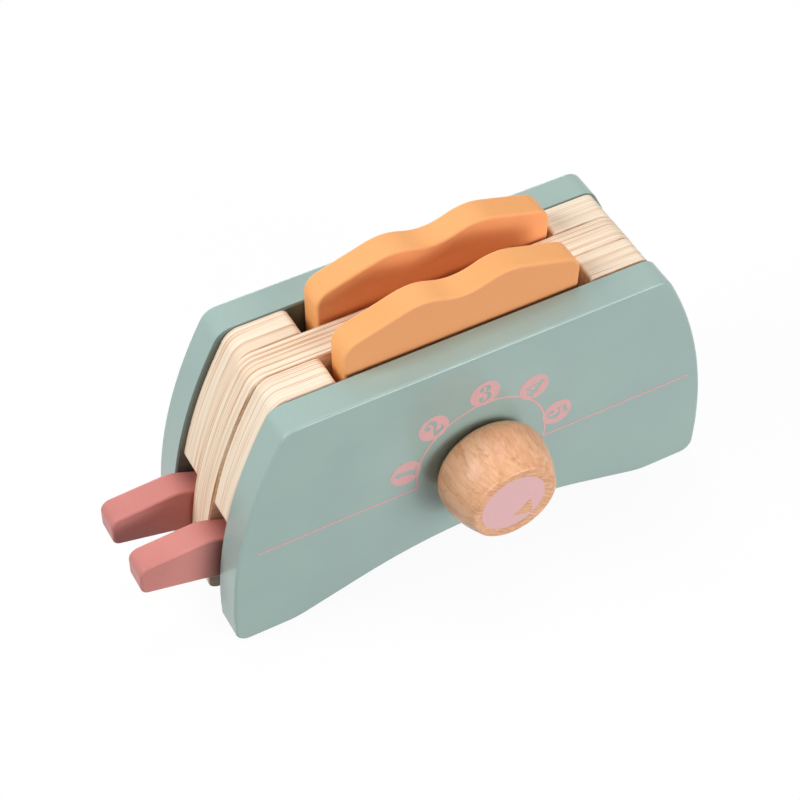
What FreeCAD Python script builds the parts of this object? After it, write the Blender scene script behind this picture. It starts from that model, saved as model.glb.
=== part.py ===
import FreeCAD, Part
import math
import os
from FreeCAD import Vector

# Wooden toy toaster: five glued boards, two rocking levers that lift two slices of toast, one knob.
# Millimetres. X runs along the body with the levers at -X, Y runs front to back with the knob at -Y,
# Z is up. The pieces are drawn about the middle of the body, then moved so that the origin is the
# bottom centre of the whole toy.

# Boards, counted from front to back
panel_thickness = 12.0
lane_width = 12.0
divider_thickness = 12.0

# Outline of the painted panels
body_height = 98.4
body_half_length = 92.4
widest_height = 12.0
side_radius = 181.0
top_corner_radius = 7.0
foot_corner_radius = 5.0
foot_inner_end = 73.0
foot_ramp_radius = 25.0
arch_height = 13.5
ramp_slope = 16.0
panel_edge_round = 1.0
panel_inner_bevel = 0.6

# Plywood layers, set in from the panels' outline except at the flat top
divider_inset = 1.0
left_block_inset = 2.0
right_block_inset = 1.2
right_block_corner_radius = 4.0
ply_edge_bevel = 0.4
slot_left = -46.4
slot_right = 48.0
left_slot_corner_round = 3.0
right_slot_corner_round = 1.2
block_outer_height = 44.0
block_heel_height = 38.0
block_corner_round = 4.5
ledge_top = 22.0
ledge_end = -14.0
ledge_corner_round = 6.0
ledge_tip_round = 2.5

# Levers
lever_thickness = 10.0
lever_shift_to_divider = 0.5
lever_reach = 119.0
lever_edge_round = 1.0
pivot_x = -62.0
pivot_z = 24.0
nose_x = 4.0
nose_depth = 9.7
nose_round = 4.4
rest_gap = 0.3
handle_top_rise = 9.2
handle_top_round = 4.0
handle_base_rise = 5.0
handle_base_round = 3.0
crest_rise = 10.6
crest_run = 31.5
crest_round = 14.0
shoulder_rise = 1.2
shoulder_run = 11.0
shoulder_round = 22.0
arm_run = 13.0
arm_round = 30.0
nose_heel_run = 8.0
nose_heel_round = 24.0
cheek_depth = 8.7
cheek_inner_run = 12.0
cheek_outer_run = 8.0
cheek_round = 20.0
belly_rise = -0.6
belly_run = 35.0
belly_round = 40.0

# Toast
toast_thickness = 10.0
toast_half_width = 43.65
toast_base_half_width = 42.5
toast_hump_x = 15.4
toast_hump_lift = 8.8
toast_hump_round = 19.0
toast_dip_lift = 3.1
toast_dip_round = 20.0
toast_shoulder_round = 7.0
toast_base_height = 77.5
toast_base_round = 8.0
toast_edge_round = 1.2
front_toast_x = 0.0
rear_toast_x = 2.6

# Dowels
dowel_radius = 4.0
dowel_seat_depth = 8.0
dowel_end_chamfer = 0.8
dowel_glue_gap = 0.02
pivot_running_gap = 0.08
dowel_below_top = 14.4
dowel_from_side = 12.0
left_dowel_height = 61.0
middle_dowel_height = 50.0
foot_dowel_height = 15.0

# Knob, its screw and washers
knob_x = 0.6
knob_z = 48.3
knob_reach = 23.9
knob_gap = 1.0
knob_base_radius = 15.5
knob_belly_radius = 19.8
knob_belly_height = 8.2
knob_face_radius = 16.0
knob_face_round = 1.2
screw_radius = 2.0
screw_running_gap = 0.08
screw_in_knob = 14.0
screw_head_radius = 4.0
screw_head_height = 2.5
screw_recess_width = 1.0
screw_recess_length = 4.6
screw_recess_depth = 1.3
head_pocket_radius = 6.5
head_pocket_depth = 5.0
head_washer_radius = 6.0
head_washer_thickness = 1.0
washer_bore_radius = 2.3
felt_radius = 9.0

# Places worked out from the sizes above
depth = 2 * panel_thickness + 2 * lane_width + divider_thickness
front_face = -depth / 2
front_lane_front = front_face + panel_thickness
front_lane_back = front_lane_front + lane_width
rear_lane_front = front_lane_back + divider_thickness
rear_lane_back = rear_lane_front + lane_width
lever_top = ledge_top + rest_gap + nose_depth
toast_base = lever_top + rest_gap
origin_shift = Vector((lever_reach - body_half_length) / 2, knob_reach / 2, 0)


def point(x, z):
    return Vector(x, 0, z)


def arch_radius(tilt):
    """Radius of the arch that the straight run, tilted so, touches beyond the foot's curve."""
    both = foot_inner_end * math.sin(tilt) - arch_height * math.cos(tilt)
    return both / (1 - math.cos(tilt)) - foot_ramp_radius


def half_outline(inset, corner_radius=top_corner_radius):
    """Right half of the body outline, top centre to arch centre, as (start, middle or None, end)."""
    side = point(body_half_length - side_radius, widest_height)
    side_r = side_radius - inset
    corner_z = body_height - corner_radius
    reach = side_r - corner_radius
    corner = point(side.x + math.sqrt(reach ** 2 - (corner_z - side.z) ** 2), corner_z)
    reach = side_radius - foot_corner_radius
    foot_x = side.x + math.sqrt(reach ** 2 - (foot_corner_radius - side.z) ** 2)
    foot = point(foot_x, foot_corner_radius)
    ramp = point(foot_inner_end, foot_ramp_radius)
    tilt = math.radians(ramp_slope)
    arch = point(0, arch_height - arch_radius(tilt))
    normal = point(math.sin(tilt), math.cos(tilt))

    def on(centre, radius, angle):
        return centre + point(math.cos(angle), math.sin(angle)) * radius

    top_angle = math.atan2(corner.z - side.z, corner.x - side.x)
    low_angle = math.atan2(foot.z - side.z, foot.x - side.x)
    foot_r = foot_corner_radius - inset
    ramp_r = foot_ramp_radius - inset
    arch_r = arch_radius(tilt) + inset
    down = -math.pi / 2
    runs = [
        (point(0, body_height), None, point(corner.x, body_height)),
        (point(corner.x, body_height), on(corner, corner_radius, (math.pi / 2 + top_angle) / 2),
         on(side, side_r, top_angle)),
        (on(side, side_r, top_angle), on(side, side_r, (top_angle + low_angle) / 2),
         on(side, side_r, low_angle)),
        (on(side, side_r, low_angle), on(foot, foot_r, (low_angle + down) / 2), on(foot, foot_r, down)),
        (on(foot, foot_r, down), None, on(ramp, ramp_r, down)),
        (on(ramp, ramp_r, down), on(ramp, ramp_r, down - tilt / 2), ramp - normal * ramp_r),
        (ramp - normal * ramp_r, None, arch + normal * arch_r),
        (arch + normal * arch_r, on(arch, arch_r, math.pi / 2 - tilt / 2), on(arch, arch_r, math.pi / 2)),
    ]
    return runs


def edge(start, middle, end):
    if middle is None:
        return Part.makeLine(start, end)
    return Part.Arc(start, middle, end).toShape()


def mirrored(p):
    return None if p is None else point(-p.x, p.z)


def outline_board(inset, front, thickness, corner_radius=top_corner_radius):
    """A board with the body's whole outline, set in from the panels by inset."""
    right = half_outline(inset, corner_radius)
    left = [(mirrored(end), mirrored(middle), mirrored(start)) for start, middle, end in reversed(right)]
    wire = Part.Wire([edge(*run) for run in right + left])
    board = Part.Face(wire).extrude(Vector(0, thickness, 0))
    return board.translated(Vector(0, front, 0)).removeSplitter()


def rounded_profile(corners):
    """Closed wire through (x, z, radius) corners, each rounded by a tangent arc."""
    count = len(corners)
    arcs = []
    for i, (x, z, radius) in enumerate(corners):
        here = point(x, z)
        before = point(*corners[i - 1][:2]) - here
        after = point(*corners[(i + 1) % count][:2]) - here
        before.normalize()
        after.normalize()
        half_angle = before.getAngle(after) / 2
        run = radius / math.tan(half_angle)
        inward = before + after
        inward.normalize()
        tip = here + inward * (radius / math.sin(half_angle) - radius)
        arcs.append((here + before * run, tip, here + after * run))
    edges = []
    for i, arc in enumerate(arcs):
        edges.append(edge(*arc))
        following = arcs[(i + 1) % count][0]
        if arc[2].distanceToPoint(following) > 1e-6:
            edges.append(Part.makeLine(arc[2], following))
    return Part.Wire(edges)


def plate(wire, front, thickness):
    solid = Part.Face(wire).extrude(Vector(0, thickness, 0))
    return solid.translated(Vector(0, front, 0))


def lane_piece(wire, front):
    return plate(wire, front, lane_width)


def rims(solid, front, back):
    """The outline edges that lie in the front and back faces."""
    picked = []
    for rim in solid.Edges:
        box = rim.BoundBox
        flat = box.YLength < 1e-6
        if flat and min(abs(box.YMin - front), abs(box.YMin - back)) < 1e-6:
            picked.append(rim)
    return picked


def round_rims(solid, front, back, radius):
    return solid.makeFillet(radius, rims(solid, front, back))


def bevel_rims(solid, front, back, bevel=ply_edge_bevel):
    return solid.makeChamfer(bevel, rims(solid, front, back))


def round_corner(solid, x, z, radius):
    """Round the edge along Y that is nearest to (x, z)."""
    along = [e for e in solid.Edges if e.BoundBox.XLength < 1e-6 and e.BoundBox.ZLength < 1e-6]
    nearest = min(along, key=lambda e: math.hypot(e.BoundBox.XMin - x, e.BoundBox.ZMin - z))
    return solid.makeFillet(radius, [nearest])


def rod(radius, x, z, front, back):
    return Part.makeCylinder(radius, back - front, Vector(x, front, z), Vector(0, 1, 0))


def layer_dowel_places():
    """Axes of the layer dowels: two in the left blocks, three in the right blocks."""
    upper = body_height - dowel_below_top
    left_side = -outline_x(upper, left_block_inset)
    right_side = outline_x(upper, right_block_inset)
    places = [((slot_left + left_side) / 2, upper),
              (dowel_from_side - outline_x(left_dowel_height, left_block_inset), left_dowel_height),
              ((slot_right + right_side) / 2, upper)]
    for height in (middle_dowel_height, foot_dowel_height):
        places.append((outline_x(height, right_block_inset) - dowel_from_side, height))
    return places


def bore_dowels(solid, front, back):
    """Holes for the layer dowels that run through this piece, between two depths."""
    box = solid.BoundBox
    for x, z in layer_dowel_places():
        if box.XMin < x < box.XMax and box.ZMin < z < box.ZMax:
            solid = solid.cut(rod(dowel_radius + dowel_glue_gap, x, z, front, back))
    return solid


def bore_pivot(solid, front, back):
    return solid.cut(rod(dowel_radius + dowel_glue_gap, pivot_x, pivot_z, front, back))


def front_panel():
    panel = outline_board(0, front_face, panel_thickness)
    panel = round_rims(panel, front_face, front_face, panel_edge_round)
    panel = bevel_rims(panel, front_lane_front, front_lane_front, panel_inner_bevel)
    seat = front_lane_front - dowel_seat_depth - dowel_glue_gap
    panel = bore_pivot(bore_dowels(panel, seat, front_lane_front), seat, front_lane_front)
    pocket = front_lane_front - head_pocket_depth
    panel = panel.cut(rod(head_pocket_radius, knob_x, knob_z, pocket, front_lane_front))
    return panel.cut(rod(screw_radius + screw_running_gap, knob_x, knob_z, front_face, pocket))


def rear_panel():
    rear_face = rear_lane_back + panel_thickness
    panel = outline_board(0, rear_lane_back, panel_thickness)
    panel = round_rims(panel, rear_face, rear_face, panel_edge_round)
    panel = bevel_rims(panel, rear_lane_back, rear_lane_back, panel_inner_bevel)
    seat = rear_lane_back + dowel_seat_depth + dowel_glue_gap
    return bore_pivot(bore_dowels(panel, rear_lane_back, seat), rear_lane_back, seat)


def centre_divider():
    board = outline_board(divider_inset, front_lane_back, divider_thickness)
    board = bevel_rims(board, front_lane_back, rear_lane_front)
    board = bore_dowels(board, front_lane_back, rear_lane_front)
    return bore_pivot(board, front_lane_back, rear_lane_front)


def left_block(front):
    """Spacer over the lever. Its underside slopes down to a heel that stops the rising lever."""
    far = -2 * body_half_length
    corner_x = -outline_x(block_outer_height, left_block_inset)
    slope = (block_outer_height - block_heel_height) / (slot_left - corner_x)
    far_height = block_outer_height + slope * (corner_x - far)
    region = Part.makePolygon([point(far, 2 * body_height), point(far, far_height),
                               point(slot_left, block_heel_height), point(slot_left, 2 * body_height),
                               point(far, 2 * body_height)])
    block = outline_board(left_block_inset, front, lane_width).common(lane_piece(region, front))
    block = round_corner(block, slot_left, body_height, left_slot_corner_round)
    block = round_corner(block, corner_x, block_outer_height, block_corner_round)
    block = bevel_rims(block, front, front + lane_width)
    return bore_dowels(block, front, front + lane_width)


def right_block(front):
    """Spacer with a low ledge under the toast, on which the lever's nose rests."""
    far = 2 * body_half_length
    low = -body_height
    region = Part.makePolygon([point(far, low), point(far, 2 * body_height),
                               point(slot_right, 2 * body_height), point(slot_right, ledge_top),
                               point(ledge_end, ledge_top), point(ledge_end, low), point(far, low)])
    board = outline_board(right_block_inset, front, lane_width, right_block_corner_radius)
    block = board.common(lane_piece(region, front))
    block = round_corner(block, slot_right, body_height, right_slot_corner_round)
    block = round_corner(block, slot_right, ledge_top, ledge_corner_round)
    block = round_corner(block, ledge_end, ledge_top, ledge_tip_round)
    block = bevel_rims(block, front, front + lane_width)
    return bore_dowels(block, front, front + lane_width)


def outline_x(z, inset):
    """Half length of the inset outline at a height on its bowed side."""
    centre = body_half_length - side_radius
    return centre + math.sqrt((side_radius - inset) ** 2 - (z - widest_height) ** 2)


def lever(lane_middle):
    """Rocking lever: handle outside, pivot hole, and a nose that lifts the toast."""
    front = lane_middle - lever_thickness / 2
    back = front + lever_thickness
    nose_base = ledge_top + rest_gap
    wire = rounded_profile([
        (-lever_reach, lever_top + handle_top_rise, handle_top_round),
        (pivot_x - crest_run, lever_top + crest_rise, crest_round),
        (pivot_x - shoulder_run, lever_top + shoulder_rise, shoulder_round),
        (pivot_x + arm_run, lever_top, arm_round),
        (nose_x, lever_top, nose_round),
        (nose_x, nose_base, nose_round),
        (ledge_end - nose_heel_run, nose_base, nose_heel_round),
        (pivot_x + cheek_inner_run, pivot_z - cheek_depth, cheek_round),
        (pivot_x - cheek_outer_run, pivot_z - cheek_depth, cheek_round),
        (pivot_x - belly_run, pivot_z + belly_rise, belly_round),
        (-lever_reach, pivot_z + handle_base_rise, handle_base_round),
    ])
    solid = plate(wire, front, lever_thickness)
    solid = round_rims(solid, front, back, lever_edge_round)
    return solid.cut(rod(dowel_radius + pivot_running_gap, pivot_x, pivot_z, front, back))


def toast(lane_middle, middle_x):
    """Slice with two humps on top, a dip between them and rounded shoulders."""
    shoulder = toast_base + toast_base_height
    right = [
        (toast_hump_x, shoulder + toast_hump_lift, toast_hump_round),
        (toast_half_width, shoulder, toast_shoulder_round),
        (toast_base_half_width, toast_base, toast_base_round),
    ]
    left = [(-x, z, radius) for x, z, radius in reversed(right)]
    dip = [(0, shoulder + toast_dip_lift, toast_dip_round)]
    wire = rounded_profile([(middle_x + x, z, radius) for x, z, radius in dip + right + left])
    front = lane_middle - toast_thickness / 2
    back = front + toast_thickness
    return round_rims(plate(wire, front, toast_thickness), front, back, toast_edge_round)


def dowel(x, z):
    front = front_lane_front - dowel_seat_depth
    back = rear_lane_back + dowel_seat_depth
    solid = rod(dowel_radius, x, z, front, back)
    ends = [e for e in solid.Edges if e.BoundBox.YLength < 1e-6]
    return solid.makeChamfer(dowel_end_chamfer, ends)


def turned(profile_edges):
    """Solid of revolution about the knob's axis, from edges drawn in the plane x = knob_x."""
    face = Part.Face(Part.Wire(profile_edges))
    return face.revolve(Vector(knob_x, 0, knob_z), Vector(0, 1, 0), 360)


def knob():
    """Barrel-shaped turned knob with a flat face and a blind hole for the screw."""
    base = front_face - knob_gap
    face = front_face - knob_reach
    rim = face + knob_face_round

    def at(radius, y):
        return Vector(knob_x, y, knob_z + radius)

    def swell(end_radius, end, belly):
        """Arc from the widest circle, where it runs straight back, to an end circle."""
        run = abs(end - belly)
        drop = knob_belly_radius - end_radius
        bow = (run ** 2 + drop ** 2) / (2 * drop)
        half = math.asin(run / bow) / 2
        middle = belly + math.copysign(bow * math.sin(half), end - belly)
        return Part.Arc(at(knob_belly_radius, belly), at(knob_belly_radius - bow * (1 - math.cos(half)), middle),
                        at(end_radius, end)).toShape()

    belly = front_face - knob_belly_height
    bend = knob_face_round * (1 - math.sqrt(0.5))
    rounding = Part.Arc(at(knob_face_radius, rim), at(knob_face_radius - bend, face + bend),
                        at(knob_face_radius - knob_face_round, face))
    outer = [
        Part.makeLine(at(0, base), at(knob_base_radius, base)),
        swell(knob_base_radius, base, belly),
        swell(knob_face_radius, rim, belly),
        rounding.toShape(),
        Part.makeLine(at(knob_face_radius - knob_face_round, face), at(0, face)),
        Part.makeLine(at(0, face), at(0, base)),
    ]
    hole = rod(screw_radius + dowel_glue_gap, knob_x, knob_z, base - screw_in_knob, base)
    return turned(outer).cut(hole)


def screw_head_underside():
    return front_lane_front - head_pocket_depth + head_washer_thickness + rest_gap


def knob_screw():
    """Pan head screw through the front panel into the knob, with a cross recess."""
    under = screw_head_underside()
    tip = front_face - knob_gap - screw_in_knob + rest_gap
    shank = rod(screw_radius, knob_x, knob_z, tip, under)
    head = rod(screw_head_radius, knob_x, knob_z, under, under + screw_head_height)
    crown = [e for e in head.Edges if e.BoundBox.YMin > under + screw_head_height / 2
             and e.BoundBox.YLength < 1e-6]
    head = head.makeFillet(screw_head_height / 2, crown)
    recess_y = under + screw_head_height - screw_recess_depth
    long_half = screw_recess_length / 2
    thin_half = screw_recess_width / 2
    for half_x, half_z in ((long_half, thin_half), (thin_half, long_half)):
        corner = Vector(knob_x - half_x, recess_y, knob_z - half_z)
        head = head.cut(Part.makeBox(2 * half_x, screw_recess_depth, 2 * half_z, corner))
    return shank.fuse(head).removeSplitter()


def ring(outer_radius, front, back):
    outer = rod(outer_radius, knob_x, knob_z, front, back)
    return outer.cut(rod(washer_bore_radius, knob_x, knob_z, front, back))


def knob_head_washer():
    floor = front_lane_front - head_pocket_depth
    return ring(head_washer_radius, floor, floor + head_washer_thickness)


def knob_felt_washer():
    return ring(felt_radius, front_face - knob_gap, front_face - rest_gap)


def pieces():
    front_middle = (front_lane_front + front_lane_back) / 2
    rear_middle = (rear_lane_front + rear_lane_back) / 2
    made = {
        "front_panel": front_panel(),
        "rear_panel": rear_panel(),
        "centre_divider": centre_divider(),
        "front_left_block": left_block(front_lane_front),
        "rear_left_block": left_block(rear_lane_front),
        "front_right_block": right_block(front_lane_front),
        "rear_right_block": right_block(rear_lane_front),
        "front_lever": lever(front_middle + lever_shift_to_divider),
        "rear_lever": lever(rear_middle - lever_shift_to_divider),
        "front_toast": toast(front_middle, front_toast_x),
        "rear_toast": toast(rear_middle, rear_toast_x),
        "lever_pivot_dowel": dowel(pivot_x, pivot_z),
        "knob": knob(),
        "knob_screw": knob_screw(),
        "knob_head_washer": knob_head_washer(),
        "knob_felt_washer": knob_felt_washer(),
    }
    for number, (x, z) in enumerate(layer_dowel_places(), 1):
        made[f"layer_dowel_{number}"] = dowel(x, z)
    return made


def main():
    os.makedirs("parts", exist_ok=True)
    for name, shape in pieces().items():
        placed = shape.translated(origin_shift)
        placed.exportStep(f"parts/{name}.step")
        box = placed.BoundBox
        print(f"{name}: solids {len(placed.Solids)}, valid {placed.isValid()}, "
              f"volume {placed.Volume / 1000:.2f} cm3, "
              f"x {box.XMin:.2f} to {box.XMax:.2f}, y {box.YMin:.2f} to {box.YMax:.2f}, "
              f"z {box.ZMin:.2f} to {box.ZMax:.2f}")


main()
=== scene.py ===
import bpy
import math
from mathutils import Matrix, Vector
from mathutils.geometry import delaunay_2d_cdt


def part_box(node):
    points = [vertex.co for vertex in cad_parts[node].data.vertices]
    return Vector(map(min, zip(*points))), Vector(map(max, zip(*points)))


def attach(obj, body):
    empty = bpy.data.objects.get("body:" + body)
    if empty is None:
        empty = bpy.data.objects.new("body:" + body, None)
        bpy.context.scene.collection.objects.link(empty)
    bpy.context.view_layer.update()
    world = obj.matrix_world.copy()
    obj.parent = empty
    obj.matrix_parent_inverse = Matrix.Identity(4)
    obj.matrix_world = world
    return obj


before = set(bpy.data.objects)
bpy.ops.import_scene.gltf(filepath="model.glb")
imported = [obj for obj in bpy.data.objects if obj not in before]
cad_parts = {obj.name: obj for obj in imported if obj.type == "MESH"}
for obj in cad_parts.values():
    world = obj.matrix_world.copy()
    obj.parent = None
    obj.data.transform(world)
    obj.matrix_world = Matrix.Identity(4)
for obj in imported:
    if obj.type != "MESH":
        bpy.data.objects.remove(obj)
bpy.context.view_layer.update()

# Wooden toy toaster: painted boards with a plywood core, two slices of toast on rocking levers and a
# turned beech knob over a printed dial. The CAD nodes keep their shapes and get their finishes here,
# and the print on the front panel is added as one thin piece. Materials work in millimetres.

MM = 0.001
panel_low, panel_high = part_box("front_panel")
body_x = (panel_low.x + panel_high.x) / 2
panel_front_y = panel_low.y


# Camera at the photograph's place, from the middle of the front panel's foot line
CAMERA_FROM = (-0.25082, -0.39272, 0.60841)
CAMERA_RIGHT = (0.87826308, -0.47805081, 0.0110177)
CAMERA_UP = (0.35378642, 0.66512355, 0.65760613)
CAMERA_BACK = (-0.32169728, -0.57365327, 0.75328134)
CAMERA_LENS = 97.34
CAMERA_SENSOR = 36.0
CAMERA_NEAR = 0.01
CAMERA_FAR = 50.0


def link(thing):
    bpy.context.scene.collection.objects.link(thing)


def make_camera():
    data = bpy.data.cameras.new("camera")
    data.sensor_width = CAMERA_SENSOR
    data.lens = CAMERA_LENS
    data.clip_start = CAMERA_NEAR
    data.clip_end = CAMERA_FAR
    camera = bpy.data.objects.new("camera", data)
    turn = Matrix((CAMERA_RIGHT, CAMERA_UP, CAMERA_BACK)).transposed()
    place = Vector((body_x, panel_front_y, 0.0)) + Vector(CAMERA_FROM)
    camera.matrix_world = Matrix.Translation(place) @ turn.to_4x4()
    link(camera)
    bpy.context.scene.camera = camera


def rgb(r, g, b):
    """Linear colour from the 0 to 255 values of a picture."""
    linear = [c / 255 / 12.92 if c <= 10 else ((c / 255 + 0.055) / 1.055) ** 2.4 for c in (r, g, b)]
    return (*linear, 1.0)


# Paint
SAGE_LIGHT = rgb(162, 187, 180)
SAGE_DARK = rgb(157, 181, 176)
# Painted shade in the joint where each panel meets the plywood
SAGE_JOINT_SHADE = rgb(92, 102, 94)
TOAST_LIGHT = rgb(254, 182, 116)
TOAST_DARK = rgb(249, 175, 108)
# Painted shade on the slices' flat faces
TOAST_FACE_SHADE = rgb(243, 168, 112)
LEVER_LIGHT = rgb(214, 138, 131)
LEVER_DARK = rgb(206, 130, 123)
COAT_ROUGHNESS = 0.14
# Widths in millimetres and greatest strength of the painted joint shade along each panel's inner face
JOINT_SHADE_CLEAN = 0.75
JOINT_SHADE_DARK = 0.35
JOINT_SHADE_COVER = 0.85

# Plywood
BOARD = 12.0
SEAM_CLEAN = 0.60
SEAM_DARK = 0.15
PLY_LIGHT = rgb(255, 239, 216)
PLY_TAN = rgb(230, 193, 156)
PLY_LINE = rgb(206, 143, 92)
GLUE = rgb(190, 122, 68)

# Beech, with the direction across its year rings
RING_ACROSS_X = 0.47
RING_ACROSS_Z = 0.88
RING_PITCH = 1.6
BEECH_LIGHT = rgb(246, 193, 152)
BEECH_WARM = rgb(233, 171, 128)
BEECH_DARK = rgb(203, 137, 95)
BEECH_FLECK = rgb(186, 120, 80)

# Printed disc and bare pointer on the knob's face, from the knob's axis
KNOB_DISC_X = -1.0
KNOB_DISC_Z = 0.7
KNOB_DISC_RADIUS = 11.95
POINTER = ((-0.8, -6.3), (6.8, -8.3), (5.9, -0.5))
INK_BLUR = 0.12
FACE_DEPTH = 0.4
KNOB_PINK = rgb(239, 190, 191)
KNOB_PINK_DARK = rgb(236, 187, 188)

# Ink, steel and felt
PINK_LIGHT = rgb(230, 182, 182)
PINK_DARK = rgb(222, 172, 172)
STEEL_LIGHT = rgb(200, 200, 202)
STEEL_DARK = rgb(170, 170, 174)
FELT_LIGHT = rgb(120, 118, 112)
FELT_DARK = rgb(84, 82, 78)

# Bump heights in metres
FINE_BUMP = 0.0001
INK_BUMP = 0.00005
FELT_BUMP = 0.0003

# Sockets of the Mix node's colours
MIX_FACTOR = 0
MIX_FIRST = 6
MIX_SECOND = 7
MIX_RESULT = 2


class Nodes:
    """A node tree, with short calls that add nodes to it and return their output sockets."""

    def __init__(self, tree):
        self.tree = tree
        tree.nodes.clear()

    def join(self, source, socket):
        if isinstance(source, bpy.types.NodeSocket):
            self.tree.links.new(source, socket)
        else:
            socket.default_value = source

    def add(self, kind, inputs=(), **settings):
        node = self.tree.nodes.new(kind)
        for key, value in settings.items():
            setattr(node, key, value)
        for key, value in dict(inputs).items():
            self.join(value, node.inputs[key])
        return node

    def math(self, operation, *values, clamp=False):
        node = self.add("ShaderNodeMath", dict(enumerate(values)), operation=operation, use_clamp=clamp)
        return node.outputs[0]

    def plus(self, first, second):
        return self.math("ADD", first, second)

    def minus(self, first, second):
        return self.math("SUBTRACT", first, second)

    def times(self, first, second, clamp=False):
        return self.math("MULTIPLY", first, second, clamp=clamp)

    def stretched(self, vector, factors):
        node = self.add("ShaderNodeVectorMath", {0: vector, 1: factors}, operation="MULTIPLY")
        return node.outputs["Vector"]

    def split(self, vector):
        return self.add("ShaderNodeSeparateXYZ", {"Vector": vector}).outputs

    def combine(self, x, y, z):
        return self.add("ShaderNodeCombineXYZ", {"X": x, "Y": y, "Z": z}).outputs["Vector"]

    def noise(self, vector, scale=1.0, detail=2.0, roughness=0.5, distortion=0.0):
        node = self.add("ShaderNodeTexNoise", {"Vector": vector, "Scale": scale, "Detail": detail,
                                               "Roughness": roughness, "Distortion": distortion})
        return node.outputs["Fac"]

    def ramp(self, factor, low, high, to_low=0.0, to_high=1.0):
        """Smooth step from to_low at low to to_high at high."""
        node = self.add("ShaderNodeMapRange", {"Value": factor, "From Min": low, "From Max": high,
                                               "To Min": to_low, "To Max": to_high},
                        interpolation_type="SMOOTHSTEP")
        return node.outputs["Result"]

    def mix(self, factor, first, second):
        node = self.add("ShaderNodeMix", data_type="RGBA")
        self.join(factor, node.inputs[MIX_FACTOR])
        self.join(first, node.inputs[MIX_FIRST])
        self.join(second, node.inputs[MIX_SECOND])
        return node.outputs[MIX_RESULT]


class Material(Nodes):
    """A material with one principled shader, and the place on the object in millimetres."""

    def __init__(self, name):
        self.material = bpy.data.materials.new(name)
        self.material.use_nodes = True
        super().__init__(self.material.node_tree)
        self.shader = self.add("ShaderNodeBsdfPrincipled")
        self.add("ShaderNodeOutputMaterial", {"Surface": self.shader.outputs["BSDF"]})
        self.coords = self.add("ShaderNodeTexCoord").outputs
        self.place = self.stretched(self.coords["Object"], (1 / MM, 1 / MM, 1 / MM))
        self.x, self.y, self.z = self.split(self.place)

    def facing(self):
        """1 on faces square to Y, 0 on faces along it."""
        return self.math("ABSOLUTE", self.split(self.coords["Normal"])[1])

    def grain(self, stretch, **settings):
        return self.noise(self.stretched(self.place, stretch), **settings)

    def bump(self, height, strength, distance=FINE_BUMP):
        node = self.add("ShaderNodeBump", {"Height": height, "Strength": strength, "Distance": distance})
        self.join(node.outputs["Normal"], self.shader.inputs["Normal"])

    def finish(self, colour, **values):
        self.join(colour, self.shader.inputs["Base Color"])
        for key, value in values.items():
            self.join(value, self.shader.inputs[key.replace("_", " ")])
        return self.material


def satin_paint(name, light, dark, gloss, shine, coat=0.0, face=None, inner_y=None):
    """Sprayed satin paint: broad faint mottling, the finest orange peel and a soft sheen.

    The flat faces may take a painted shade of their own, and the paint may take a painted shade along the
    joint at inner_y."""
    m = Material(name)
    cloud = m.noise(m.place, scale=0.03)
    speck = m.noise(m.place, scale=0.9, detail=3.0, roughness=0.6)
    peel = m.noise(m.place, scale=1.4)
    shade = m.plus(m.times(cloud, 0.8), m.times(speck, 0.2))
    colour = m.mix(m.ramp(shade, 0.36, 0.64), dark, light)
    # Painted shade on the faces square to Y
    if face:
        colour = m.mix(m.ramp(m.facing(), 0.6, 0.97), colour, face)
    # Painted shade along the joint at the panel's inner face
    if inner_y is not None:
        gap = m.math("ABSOLUTE", m.minus(m.y, inner_y))
        colour = m.mix(m.ramp(gap, JOINT_SHADE_CLEAN, JOINT_SHADE_DARK, 0.0, JOINT_SHADE_COVER), colour, SAGE_JOINT_SHADE)
    rough = m.ramp(cloud, 0.3, 0.7, gloss - 0.03, gloss + 0.04)
    m.bump(peel, 0.05)
    return m.finish(colour, Roughness=rough, Specular_IOR_Level=shine,
                    Coat_Weight=coat, Coat_Roughness=COAT_ROUGHNESS)


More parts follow.
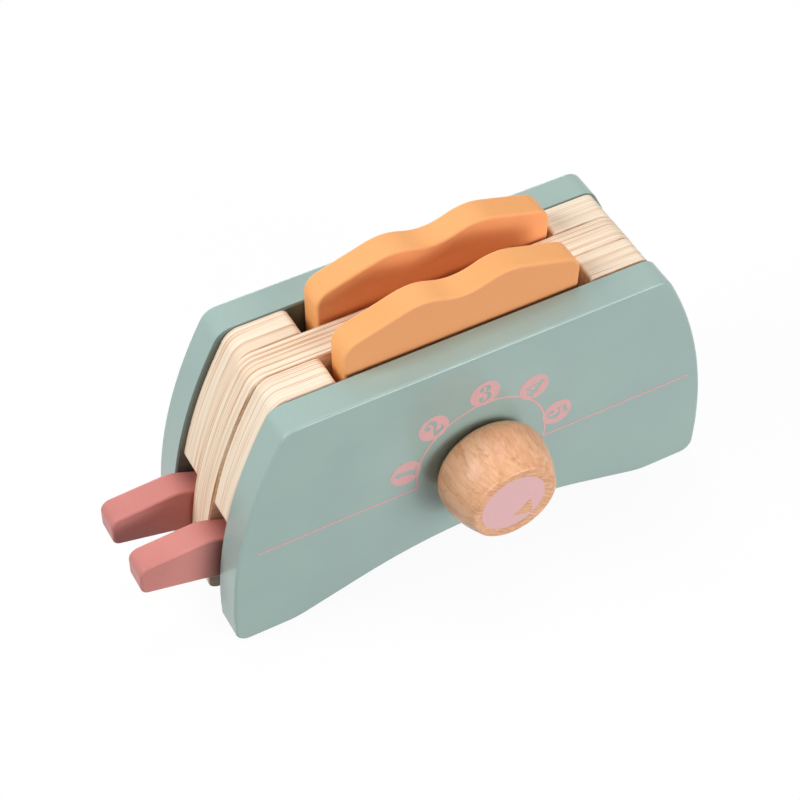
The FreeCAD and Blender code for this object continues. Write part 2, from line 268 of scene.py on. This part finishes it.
def plywood(name, front_y, seed, contrast, two_seams=False):
    """Board of thin plies glued face to face along Y, seen on its sawn and sanded edges."""
    m = Material(name)
    depth = m.minus(m.y, front_y)

    def layers(across, along, shift, detail):
        """Streaks that run along the board."""
        at = m.combine(m.math("MULTIPLY_ADD", m.x, along, seed),
                       m.math("MULTIPLY_ADD", depth, across, seed + shift),
                       m.math("MULTIPLY_ADD", m.z, along, seed))
        return m.noise(at, detail=detail, roughness=0.6)

    # Tan plies and bands, fine hairs and pores
    plies = m.ramp(layers(0.45, 0.004, 0.0, 1.0), 0.50, 0.64)
    bands = m.ramp(layers(1.3, 0.010, 5.0, 2.0), 0.53, 0.66)
    hairs = m.ramp(layers(5.5, 0.030, 13.0, 2.0), 0.56, 0.74)
    pores = m.grain((1.1, 4.0, 1.1), detail=3.0, roughness=0.7)
    dark = m.plus(m.times(plies, 0.42), m.times(bands, 0.42))
    dark = m.plus(dark, m.times(hairs, 0.30))
    dark = m.plus(dark, m.ramp(pores, 0.55, 0.8, 0.0, 0.20))
    colour = m.mix(m.times(dark, contrast, clamp=True), PLY_LIGHT, PLY_TAN)

    # Brown lines that come and go
    lines = m.ramp(layers(2.2, 0.012, 9.0, 1.0), 0.57, 0.66)
    fade = m.ramp(layers(0.25, 0.022, 3.0, 2.0), 0.30, 0.66, 0.35, 1.0)
    colour = m.mix(m.times(m.times(lines, fade), 0.85 * contrast, clamp=True), colour, PLY_LINE)

    # Glue seams against the next boards
    edge = m.math("MINIMUM", depth, m.minus(BOARD, depth)) if two_seams else depth
    broken = m.grain((0.07, 0.3, 0.07))
    seam = m.times(m.ramp(edge, SEAM_CLEAN, SEAM_DARK), m.ramp(broken, 0.35, 0.65, 0.35, 0.95))
    colour = m.mix(seam, colour, GLUE)

    # Face veneer, which shows only inside the lanes
    veneer = m.grain((0.05, 0.2, 0.7), detail=5.0, roughness=0.65, distortion=0.4)
    face = m.mix(m.ramp(veneer, 0.35, 0.7), PLY_LIGHT, PLY_TAN)
    colour = m.mix(m.ramp(m.facing(), 0.85, 0.97), colour, face)
    m.bump(m.plus(m.times(lines, -0.5), m.times(pores, -0.5)), 0.2)
    return m.finish(colour, Roughness=0.58, Specular_IOR_Level=0.3)


def beech_grain(m):
    """Colour of turned beech with the grain along Y: faint year rings, wavy figure, small flecks."""
    facing = m.facing()
    cloud = m.grain((0.20, 0.06, 0.20), detail=3.0, roughness=0.55, distortion=1.2)
    colour = m.mix(m.ramp(cloud, 0.32, 0.68), BEECH_LIGHT, BEECH_WARM)
    figure = m.grain((0.45, 0.13, 0.45), distortion=1.5)
    colour = m.mix(m.ramp(figure, 0.50, 0.70, 0.0, 0.50), colour, BEECH_DARK)

    # Year rings, strongest on the end grain
    bend = m.grain((0.07, 0.03, 0.07), detail=3.0)
    across = m.plus(m.times(m.x, RING_ACROSS_X), m.times(m.z, RING_ACROSS_Z))
    ring = m.math("FRACT", m.plus(m.math("DIVIDE", across, RING_PITCH), m.times(bend, 5.0)))
    band = m.times(m.ramp(ring, 0.2, 0.85), m.ramp(ring, 1.0, 0.88))
    broken = m.grain((0.22, 0.10, 0.22), detail=3.0, roughness=0.6)
    strength = m.times(m.ramp(facing, 0.2, 0.9, 0.16, 0.62), m.ramp(broken, 0.38, 0.62, 0.1, 1.0))
    colour = m.mix(m.times(band, strength), colour, BEECH_DARK)

    # Ray flecks, strongest round the barrel
    wave = m.times(m.minus(cloud, 0.5), 3.0)
    ray_at = m.combine(m.plus(m.times(m.x, 1.7), wave), m.times(m.y, 0.32), m.plus(m.times(m.z, 1.7), wave))
    ray = m.noise(ray_at, detail=1.0)
    fleck = m.times(m.ramp(ray, 0.66, 0.76), m.ramp(facing, 0.6, 0.2, 0.15, 0.50))
    colour = m.mix(fleck, colour, BEECH_FLECK)
    m.bump(m.plus(fleck, m.times(band, 0.5)), -0.06)
    return colour


def beech(name):
    m = Material(name)
    return m.finish(beech_grain(m), Roughness=0.40, Specular_IOR_Level=0.4)


def knob_beech(name):
    """Lacquered beech with a pink disc printed on the flat face round a bare wood pointer."""
    m = Material(name)
    wood = beech_grain(m)
    low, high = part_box("knob")
    x = m.minus(m.x, (low.x + high.x) / 2 / MM)
    z = m.minus(m.z, (low.z + high.z) / 2 / MM)
    off_x = m.minus(x, KNOB_DISC_X)
    off_z = m.minus(z, KNOB_DISC_Z)
    radius = m.math("SQRT", m.plus(m.times(off_x, off_x), m.times(off_z, off_z)))
    ink = m.ramp(radius, KNOB_DISC_RADIUS + INK_BLUR, KNOB_DISC_RADIUS - INK_BLUR)
    bare = 1.0
    for a, b in zip(POINTER, POINTER[1:] + POINTER[:1]):
        side = Vector((a[1] - b[1], b[0] - a[0])).normalized()
        across = m.minus(m.plus(m.times(x, side.x), m.times(z, side.y)), side.dot(Vector(a)))
        bare = m.times(m.ramp(across, -INK_BLUR, INK_BLUR), bare)
    ink = m.times(ink, m.minus(1.0, bare))
    face_y = low.y / MM
    ink = m.times(ink, m.ramp(m.y, face_y + FACE_DEPTH, face_y + FACE_DEPTH / 2))
    cover = m.noise(m.place, scale=0.9, detail=4.0, roughness=0.7)
    colour = m.mix(ink, wood, m.mix(m.ramp(cover, 0.3, 0.7), KNOB_PINK_DARK, KNOB_PINK))
    return m.finish(colour, Roughness=m.ramp(ink, 0.0, 1.0, 0.34, 0.5), Specular_IOR_Level=0.45)


def turned_steel(name):
    m = Material(name)
    turned = m.grain((1.0, 8.0, 1.0), detail=3.0)
    colour = m.mix(turned, STEEL_DARK, STEEL_LIGHT)
    return m.finish(colour, Roughness=m.ramp(turned, 0.3, 0.7, 0.25, 0.4), Metallic=1.0)


def felt(name):
    m = Material(name)
    fibre = m.noise(m.place, scale=3.0, detail=5.0, roughness=0.7, distortion=1.5)
    colour = m.mix(m.ramp(fibre, 0.3, 0.7), FELT_DARK, FELT_LIGHT)
    m.bump(fibre, 0.6, FELT_BUMP)
    return m.finish(colour, Roughness=0.95, Specular_IOR_Level=0.1)


def print_ink(name):
    """Matt screen-printed ink with a trace of uneven cover."""
    m = Material(name)
    cover = m.noise(m.place, scale=0.9, detail=4.0, roughness=0.7)
    colour = m.mix(m.ramp(cover, 0.3, 0.7), PINK_DARK, PINK_LIGHT)
    m.bump(cover, 0.05, INK_BUMP)
    return m.finish(colour, Roughness=0.5, Specular_IOR_Level=0.4)


def assign(material, *nodes):
    for node in nodes:
        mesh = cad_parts[node].data
        mesh.materials.clear()
        mesh.materials.append(material)


def make_panel_paint():
    inner_faces = {"front_panel": panel_high.y, "rear_panel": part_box("rear_panel")[0].y}
    for panel, y in inner_faces.items():
        # Each panel gets painted shade along its inner face, where it meets the plywood
        paint = satin_paint(f"{panel}_paint", SAGE_LIGHT, SAGE_DARK, gloss=0.38, shine=0.30, coat=0.45,
                            inner_y=y / MM)
        assign(paint, panel)


def make_plywood():
    def front_of(node):
        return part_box(node)[0].y / MM

    front = plywood("front_ply", front_of("front_left_block"), seed=3.0, contrast=0.95)
    middle = plywood("divider_ply", front_of("centre_divider"), seed=11.0, contrast=1.1, two_seams=True)
    rear = plywood("rear_ply", front_of("rear_left_block"), seed=24.0, contrast=0.95)
    assign(front, "front_left_block", "front_right_block")
    assign(middle, "centre_divider")
    assign(rear, "rear_left_block", "rear_right_block")


def make_materials():
    make_panel_paint()
    make_plywood()
    # The slices' flat faces get a painted shade
    toast = satin_paint("toast_paint", TOAST_LIGHT, TOAST_DARK, gloss=0.46, shine=0.25, face=TOAST_FACE_SHADE)
    lever = satin_paint("lever_paint", LEVER_LIGHT, LEVER_DARK, gloss=0.42, shine=0.3)
    assign(toast, "front_toast", "rear_toast")
    assign(lever, "front_lever", "rear_lever")
    assign(knob_beech("knob_beech"), "knob")
    assign(beech("beech"), *(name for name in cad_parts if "dowel" in name))
    assign(turned_steel("steel"), "knob_screw", "knob_head_washer")
    assign(felt("felt"), "knob_felt_washer")


# Print on the front panel, in millimetres: x from the middle of the body, z from the floor
INK_PROUD = 0.05
INK_SUNK = 0.02
LINE_Z = 44.1
LINE_LEFT = -82.8
LINE_RIGHT = 84.9
LINE_WIDTH = 0.75
ARC_X = 1.2
ARC_Z = 49.2
ARC_RADIUS = 24.84
ARC_STEPS = 96
DISC_RADIUS = 5.65
DISC_ORBIT = 29.6
DISC_ANGLES = (170.0, 130.0, 90.0, 50.0, 9.0)
DISC_STEPS = 72
DIGIT_HEIGHT = 7.8
STROKE_STEPS = 10
DOT_STEPS = 48
MERGE_DISTANCE = 1e-6

# Output choice of the triangulation: every triangle inside the hull
ALL_TRIANGLES = 0


def curve_points(points):
    """Catmull-Rom line through (x, y, width) points."""
    line = []
    last = len(points) - 1
    for i in range(last):
        before = Vector(points[max(i - 1, 0)])
        here = Vector(points[i])
        there = Vector(points[i + 1])
        beyond = Vector(points[min(i + 2, last)])
        for k in range(STROKE_STEPS):
            t = k / STROKE_STEPS
            line.append(0.5 * ((2 * here) + (there - before) * t
                               + (2 * before - 5 * here + 4 * there - beyond) * t ** 2
                               + (3 * here - before - 3 * there + beyond) * t ** 3))
    line.append(Vector(points[-1]))
    return line


def ribbon(*points):
    """Outline of a pen stroke through (x, y, width) points."""
    line = curve_points(points)
    left, right = [], []
    for i, here in enumerate(line):
        ahead = line[min(i + 1, len(line) - 1)].to_2d() - line[max(i - 1, 0)].to_2d()
        side = Vector((-ahead.y, ahead.x)).normalized() * here.z / 2
        left.append(here.to_2d() + side)
        right.append(here.to_2d() - side)
    return left + right[::-1]


def disc(x, y, radius, steps=DOT_STEPS):
    turns = [2 * math.pi * k / steps for k in range(steps)]
    return [Vector((x + radius * math.cos(a), y + radius * math.sin(a))) for a in turns]


def bar(x0, y0, x1, y1):
    return [Vector((x0, y0)), Vector((x1, y0)), Vector((x1, y1)), Vector((x0, y1))]


def digit_strokes():
    """Bold serif numerals one to five, in a box one unit high about the origin."""
    one = [
        bar(-0.11, -0.46, 0.13, 0.50),
        ribbon((-0.24, 0.27, 0.08), (-0.14, 0.33, 0.10), (-0.02, 0.46, 0.12)),
        bar(-0.25, -0.50, 0.27, -0.41),
    ]
    two = [
        disc(-0.17, 0.24, 0.12),
        ribbon((-0.27, 0.22, 0.06), (-0.20, 0.40, 0.08), (0.0, 0.46, 0.10), (0.17, 0.38, 0.20),
               (0.20, 0.20, 0.22), (0.08, 0.0, 0.16), (-0.10, -0.18, 0.10), (-0.25, -0.36, 0.08),
               (-0.28, -0.45, 0.06)),
        ribbon((-0.28, -0.42, 0.12), (-0.08, -0.36, 0.20), (0.10, -0.41, 0.20), (0.24, -0.38, 0.12),
               (0.30, -0.22, 0.05)),
    ]
    three = [
        disc(-0.17, 0.28, 0.11),
        ribbon((-0.26, 0.26, 0.05), (-0.18, 0.42, 0.07), (0.0, 0.47, 0.08), (0.14, 0.38, 0.18),
               (0.16, 0.24, 0.20), (0.06, 0.09, 0.10), (-0.08, 0.04, 0.07)),
        ribbon((-0.08, 0.04, 0.07), (0.08, 0.01, 0.10), (0.19, -0.12, 0.20), (0.20, -0.28, 0.22),
               (0.10, -0.42, 0.12), (-0.06, -0.47, 0.08), (-0.20, -0.42, 0.07), (-0.28, -0.28, 0.05)),
        disc(-0.18, -0.27, 0.12),
    ]
    four = [
        bar(0.04, -0.44, 0.25, 0.50),
        ribbon((0.16, 0.48, 0.07), (-0.06, 0.18, 0.08), (-0.31, -0.17, 0.07)),
        bar(-0.35, -0.25, 0.36, -0.14),
        bar(-0.08, -0.50, 0.36, -0.41),
    ]
    five = [
        ribbon((-0.21, 0.42, 0.12), (0.0, 0.40, 0.17), (0.14, 0.42, 0.16), (0.26, 0.50, 0.04)),
        ribbon((-0.20, 0.47, 0.06), (-0.21, 0.26, 0.06), (-0.23, 0.02, 0.06)),
        ribbon((-0.23, 0.03, 0.05), (-0.10, 0.12, 0.07), (0.06, 0.12, 0.10), (0.19, -0.02, 0.20),
               (0.20, -0.24, 0.22), (0.10, -0.40, 0.12), (-0.06, -0.47, 0.08), (-0.20, -0.42, 0.07),
               (-0.28, -0.28, 0.05)),
        disc(-0.18, -0.27, 0.12),
    ]
    return one, two, three, four, five


def inside(point, loop):
    """True where the loop winds round the point."""
    turns = 0
    for a, b in zip(loop, loop[1:] + loop[:1]):
        side = (b - a).cross(point - a)
        if a.y <= point.y < b.y and side > 0:
            turns += 1
        elif b.y <= point.y < a.y and side < 0:
            turns -= 1
    return turns != 0


def flat_region(outlines, holes):
    """Triangles of overlapping outlines less any overlapping holes: (points, triangles)."""
    points, loops = [], []
    for loop in outlines + holes:
        loops.append(list(range(len(points), len(points) + len(loop))))
        points.extend(loop)
    made = delaunay_2d_cdt(points, [], loops, ALL_TRIANGLES, MERGE_DISTANCE)
    places, triangles = made[0], made[2]

    def is_ink(triangle):
        middle = sum((places[i] for i in triangle), Vector((0.0, 0.0))) / len(triangle)
        covered = any(inside(middle, loop) for loop in outlines)
        return covered and not any(inside(middle, hole) for hole in holes)

    return places, [list(triangle) for triangle in triangles if is_ink(triangle)]


def slab(name, points, faces, front, back, place):
    """Closed thin solid from flat faces; place turns (x, z, y) in millimetres into the row frame."""
    used = sorted({i for face in faces for i in face})
    index = {old: new for new, old in enumerate(used)}
    count = len(used)
    verts = [place(points[i].x, points[i].y, front) for i in used]
    verts += [place(points[i].x, points[i].y, back) for i in used]
    over = [[index[i] for i in face] for face in faces]
    under = [[i + count for i in reversed(face)] for face in over]
    edges = [edge for face in over for edge in zip(face, face[1:] + face[:1])]
    shared = set(edges)
    sides = [(b, a, a + count, b + count) for a, b in edges if (b, a) not in shared]
    mesh = bpy.data.meshes.new(name)
    mesh.from_pydata(verts, [], over + under + sides)
    mesh.validate()
    mesh.update()
    piece = bpy.data.objects.new(name, mesh)
    link(piece)
    return piece


def on_panel(x, z, proud):
    return (body_x + x * MM, panel_front_y - proud * MM, z * MM)


def dial_line():
    """One stroke: level line, arc over the knob, level line."""
    def arc(radius, level):
        low = math.asin((ARC_Z - level) / radius)
        step = (math.pi + 2 * low) / ARC_STEPS
        turns = [k * step - low for k in range(ARC_STEPS + 1)]
        return [Vector((ARC_X - radius * math.cos(a), ARC_Z + radius * math.sin(a))) for a in turns]

    top = LINE_Z + LINE_WIDTH / 2
    base = LINE_Z - LINE_WIDTH / 2
    outer = arc(ARC_RADIUS + LINE_WIDTH / 2, top)
    inner = arc(ARC_RADIUS - LINE_WIDTH / 2, base)
    right_end = [Vector((LINE_RIGHT, top)), Vector((LINE_RIGHT, base))]
    return [Vector((LINE_LEFT, top))] + outer + right_end + inner[::-1] + [Vector((LINE_LEFT, base))]


def make_print():
    """Line, arc and five numbered discs of the dial, in one layer of ink."""
    outlines, holes = [dial_line()], []
    for angle, strokes in zip(DISC_ANGLES, digit_strokes()):
        a = math.radians(angle)
        centre = Vector((ARC_X + DISC_ORBIT * math.cos(a), ARC_Z + DISC_ORBIT * math.sin(a)))
        turn = Matrix.Rotation(a - math.pi / 2, 2)
        outlines.append(disc(centre.x, centre.y, DISC_RADIUS, DISC_STEPS))
        holes += [[centre + turn @ (point * DIGIT_HEIGHT) for point in stroke] for stroke in strokes]
    points, faces = flat_region(outlines, holes)
    piece = slab("dial_print", points, faces, INK_PROUD, -INK_SUNK, on_panel)
    piece.data.materials.append(print_ink("pink_ink"))
    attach(piece, "body")


# Floor, background and lamps, in metres
FLOOR_SIZE = 6.0
FLOOR_SHOWN = 0.94
FLOOR_BOUNCE = 0.22
WORLD_LEVEL = 0.17
SHOWN_LEVEL = 1.0
WHITE = (1.0, 1.0, 1.0, 1.0)
LAMP_TARGET = (0.0, 0.0, 0.05)


def shown_rays(n):
    """1 for what the camera sees directly, in a mirror or through glass."""
    rays = n.add("ShaderNodeLightPath").outputs
    mirrored = n.math("MAXIMUM", rays["Is Camera Ray"], rays["Is Glossy Ray"])
    return n.math("MAXIMUM", mirrored, rays["Is Transmission Ray"])


def floor_material():
    """White paper that shows as white but keeps a trace of shadow, and bounces little light."""
    material = bpy.data.materials.new("floor")
    material.use_nodes = True
    n = Nodes(material.node_tree)
    shown = shown_rays(n)
    paper = n.add("ShaderNodeBsdfDiffuse", {"Color": n.ramp(shown, 0.0, 1.0, FLOOR_BOUNCE, SHOWN_LEVEL)})
    glow = n.add("ShaderNodeEmission", {"Color": WHITE, "Strength": SHOWN_LEVEL})
    blend = n.add("ShaderNodeMixShader", {0: n.times(shown, FLOOR_SHOWN), 1: paper.outputs[0],
                                          2: glow.outputs[0]})
    n.add("ShaderNodeOutputMaterial", {"Surface": blend.outputs[0]})
    return material


def make_floor():
    half = FLOOR_SIZE / 2
    corners = [(-half, -half, 0), (half, -half, 0), (half, half, 0), (-half, half, 0)]
    mesh = bpy.data.meshes.new("floor")
    mesh.from_pydata(corners, [], [(0, 1, 2, 3)])
    mesh.materials.append(floor_material())
    floor = bpy.data.objects.new("floor", mesh)
    link(floor)


def make_world():
    world = bpy.data.worlds.new("studio")
    bpy.context.scene.world = world
    world.use_nodes = True
    n = Nodes(world.node_tree)
    level = n.ramp(shown_rays(n), 0.0, 1.0, WORLD_LEVEL, SHOWN_LEVEL)
    back = n.add("ShaderNodeBackground", {"Color": WHITE, "Strength": level})
    n.add("ShaderNodeOutputWorld", {"Surface": back.outputs[0]})


def lamp(name, at, size, level):
    """Square soft lamp aimed at the object, with the level it adds to a surface that faces it."""
    away = Vector(at) - Vector(LAMP_TARGET)
    data = bpy.data.lights.new(name, "AREA")
    data.size = size
    data.energy = level * math.pi ** 2 * away.length_squared
    piece = bpy.data.objects.new(name, data)
    piece.matrix_world = Matrix.Translation(at) @ away.to_track_quat("Z", "Y").to_matrix().to_4x4()
    link(piece)


def make_lamps():
    lamp("key", at=(0.55, -1.35, 0.37), size=0.9, level=0.69)
    lamp("edge", at=(0.50, -1.30, 0.42), size=0.2, level=0.09)
    lamp("left", at=(-1.10, 0.20, 0.95), size=0.8, level=0.68)
    lamp("overhead", at=(0.15, 0.30, 1.50), size=0.6, level=0.24)
    lamp("rear", at=(0.35, 1.40, 0.42), size=0.9, level=0.40)


make_camera()
make_materials()
make_print()
make_floor()
make_world()
make_lamps()
bpy.context.scene.view_settings.view_transform = "Standard"
